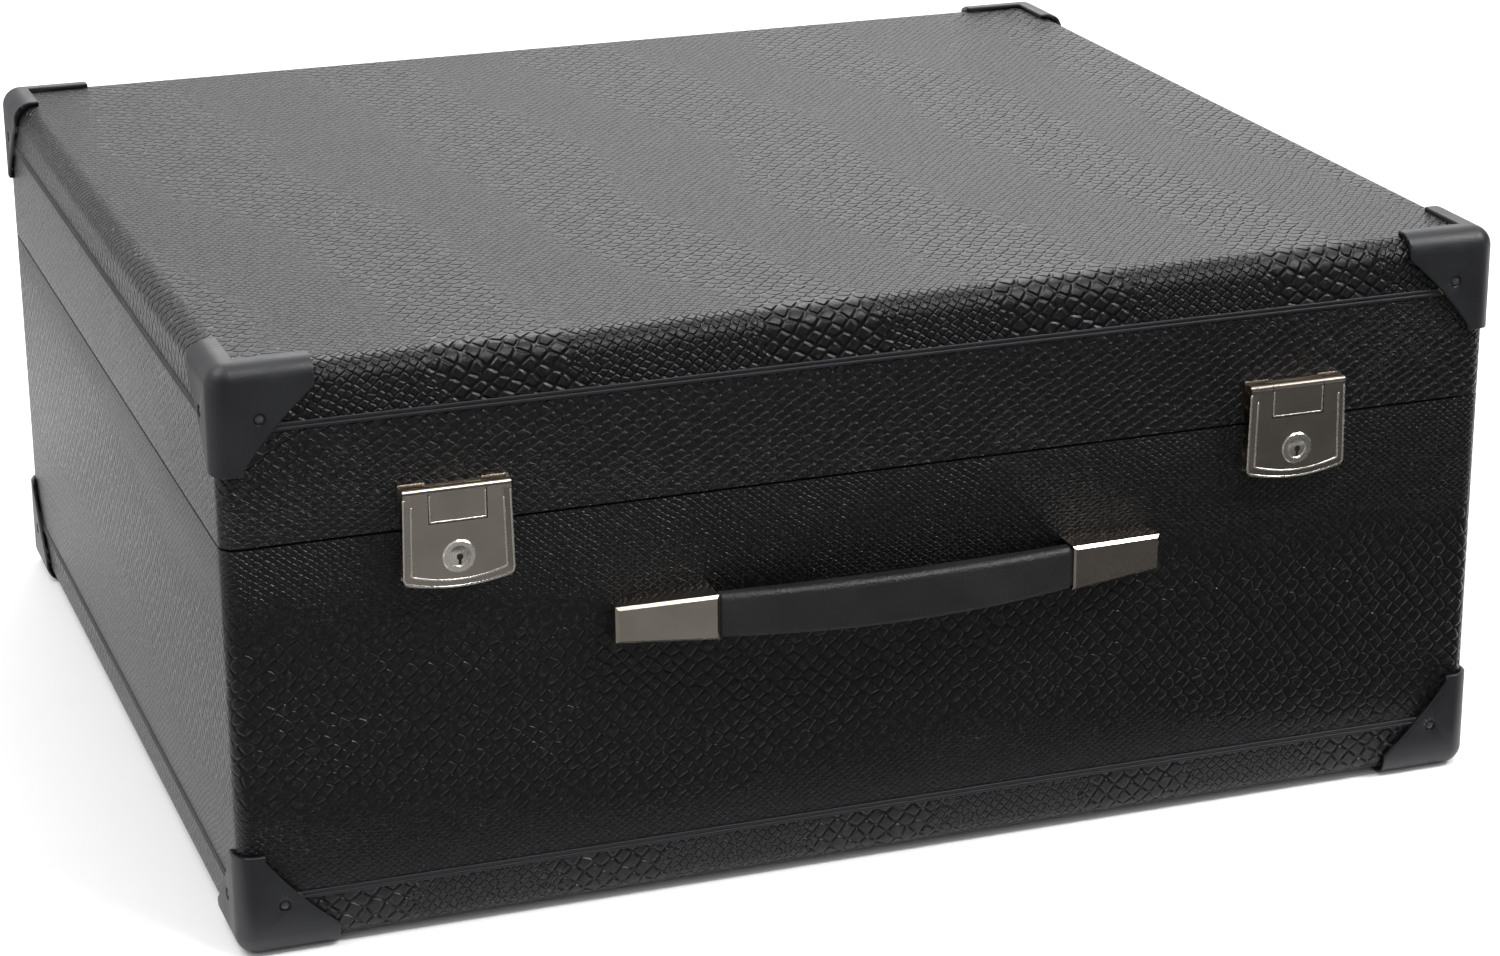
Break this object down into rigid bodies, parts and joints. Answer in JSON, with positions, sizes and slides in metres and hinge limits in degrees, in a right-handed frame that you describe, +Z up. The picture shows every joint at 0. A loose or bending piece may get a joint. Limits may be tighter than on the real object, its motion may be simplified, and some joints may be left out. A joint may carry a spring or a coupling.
{
  "type": "accordion case",
  "caption": "Rectangular hinged case for an accordion: scale-grained black covering, moulded corner caps, bowed strap handle and key-locked flap latches.",
  "frame": {"origin": "middle of the footprint at the surface under the bottom corner caps", "axes": "+X to the right along the front, +Y from the latches to the hinges, +Z up"},
  "size_m": [0.5644, 0.53, 0.2524],
  "materials": {
    "plywood": "bare birch plywood",
    "leatherette": "black leatherette embossed with a scale grain",
    "welt": "smooth black piping",
    "plush": "wine-red plush over foam",
    "corner_plastic": "black moulded plastic",
    "black_steel": "blackened steel",
    "nickel": "bright nickel plate",
    "satin_nickel": "satin-brushed nickel with polished edges",
    "polished_nickel": "polished nickel",
    "grip_rubber": "fine-grained black rubber",
    "spring_steel": "blued spring steel"
  },
  "bodies": {
    "base": {"base_bottom_panel": "plywood", "base_front_board": "plywood", "base_back_board": "plywood", "base_side_boards": "plywood", "base_bottom_covering": "leatherette", "base_wall_covering": "leatherette", "base_welt": "welt", "closing_lip": "plywood", "base_floor_pad": "plush", "base_wall_lining": "plush", "base_corner_front_left": "corner_plastic", "base_corner_front_right": "corner_plastic", "base_corner_back_left": "corner_plastic", "base_corner_back_right": "corner_plastic", "base_tacks": "black_steel", "base_rivets": "nickel", "base_rear_feet": "corner_plastic", "left_hinge_base_leaf": "nickel", "right_hinge_base_leaf": "nickel", "hinge_pins": "nickel", "left_latch_base_plate": "nickel", "right_latch_base_plate": "nickel", "left_latch_keeper": "nickel", "right_latch_keeper": "nickel", "handle_mounts": "nickel", "handle_backing_plates": "nickel", "left_handle_cap": "satin_nickel", "right_handle_cap": "satin_nickel"},
    "lid": {"lid_top_panel": "plywood", "lid_front_board": "plywood", "lid_back_board": "plywood", "lid_side_boards": "plywood", "lid_top_covering": "leatherette", "lid_wall_covering": "leatherette", "lid_welt": "welt", "lid_top_pad": "plush", "lid_wall_lining": "plush", "lid_corner_front_left": "corner_plastic", "lid_corner_front_right": "corner_plastic", "lid_corner_back_left": "corner_plastic", "lid_corner_back_right": "corner_plastic", "lid_tacks": "black_steel", "lid_rivets": "nickel", "lid_rear_feet": "corner_plastic", "left_hinge_lid_leaf": "nickel", "right_hinge_lid_leaf": "nickel", "left_latch_lid_plate": "nickel", "right_latch_lid_plate": "nickel", "latch_pins": "nickel"},
    "left_flap": {"left_latch_flap": "satin_nickel", "left_lock_barrel": "polished_nickel"},
    "left_lock": {"left_lock_cylinder": "polished_nickel"},
    "right_flap": {"right_latch_flap": "satin_nickel", "right_lock_barrel": "polished_nickel"},
    "right_lock": {"right_lock_cylinder": "polished_nickel"},
    "handle_middle": {"handle_grip_middle": "grip_rubber"},
    "left_handle_end": {"left_handle_grip_end": "grip_rubber", "left_handle_band": "spring_steel"},
    "right_handle_end": {"right_handle_grip_end": "grip_rubber", "right_handle_band": "spring_steel"}
  },
  "joints": [
    {"name": "lid_hinge", "type": "hinge", "parent": "base", "child": "lid", "pos_m": [0, 0.2568, 0.1767], "axis": [-1, 0, 0], "range_deg": [0, 100]},
    {"name": "left_flap_hinge", "type": "hinge", "parent": "lid", "child": "left_flap", "pos_m": [-0.186, -0.2476, 0.1929], "axis": [-1, 0, 0], "range_deg": [0, 120]},
    {"name": "left_key_turn", "type": "hinge", "parent": "left_flap", "child": "left_lock", "pos_m": [-0.186, -0.2499, 0.1654], "axis": [0, -1, 0], "range_deg": [0, 90]},
    {"name": "right_flap_hinge", "type": "hinge", "parent": "lid", "child": "right_flap", "pos_m": [0.186, -0.2476, 0.1929], "axis": [-1, 0, 0], "range_deg": [0, 120]},
    {"name": "right_key_turn", "type": "hinge", "parent": "right_flap", "child": "right_lock", "pos_m": [0.186, -0.2499, 0.1654], "axis": [0, -1, 0], "range_deg": [0, 90]},
    {"name": "handle_lift", "type": "slide", "parent": "base", "child": "handle_middle", "axis": [0, -1, 0], "range_m": [0, 0.014]},
    {"name": "left_grip_bend", "type": "hinge", "parent": "handle_middle", "child": "left_handle_end", "pos_m": [-0.026, -0.25925, 0.1267], "axis": [0, 0, -1], "range_deg": [0, 16]},
    {"name": "right_grip_bend", "type": "hinge", "parent": "handle_middle", "child": "right_handle_end", "pos_m": [0.026, -0.25925, 0.1267], "axis": [0, 0, 1], "range_deg": [0, 16]}
  ],
  "couplings": [
    {"joint": "left_grip_bend", "follows": "handle_lift", "rad_per_m": 19.415},
    {"joint": "right_grip_bend", "follows": "handle_lift", "rad_per_m": 19.415}
  ]
}
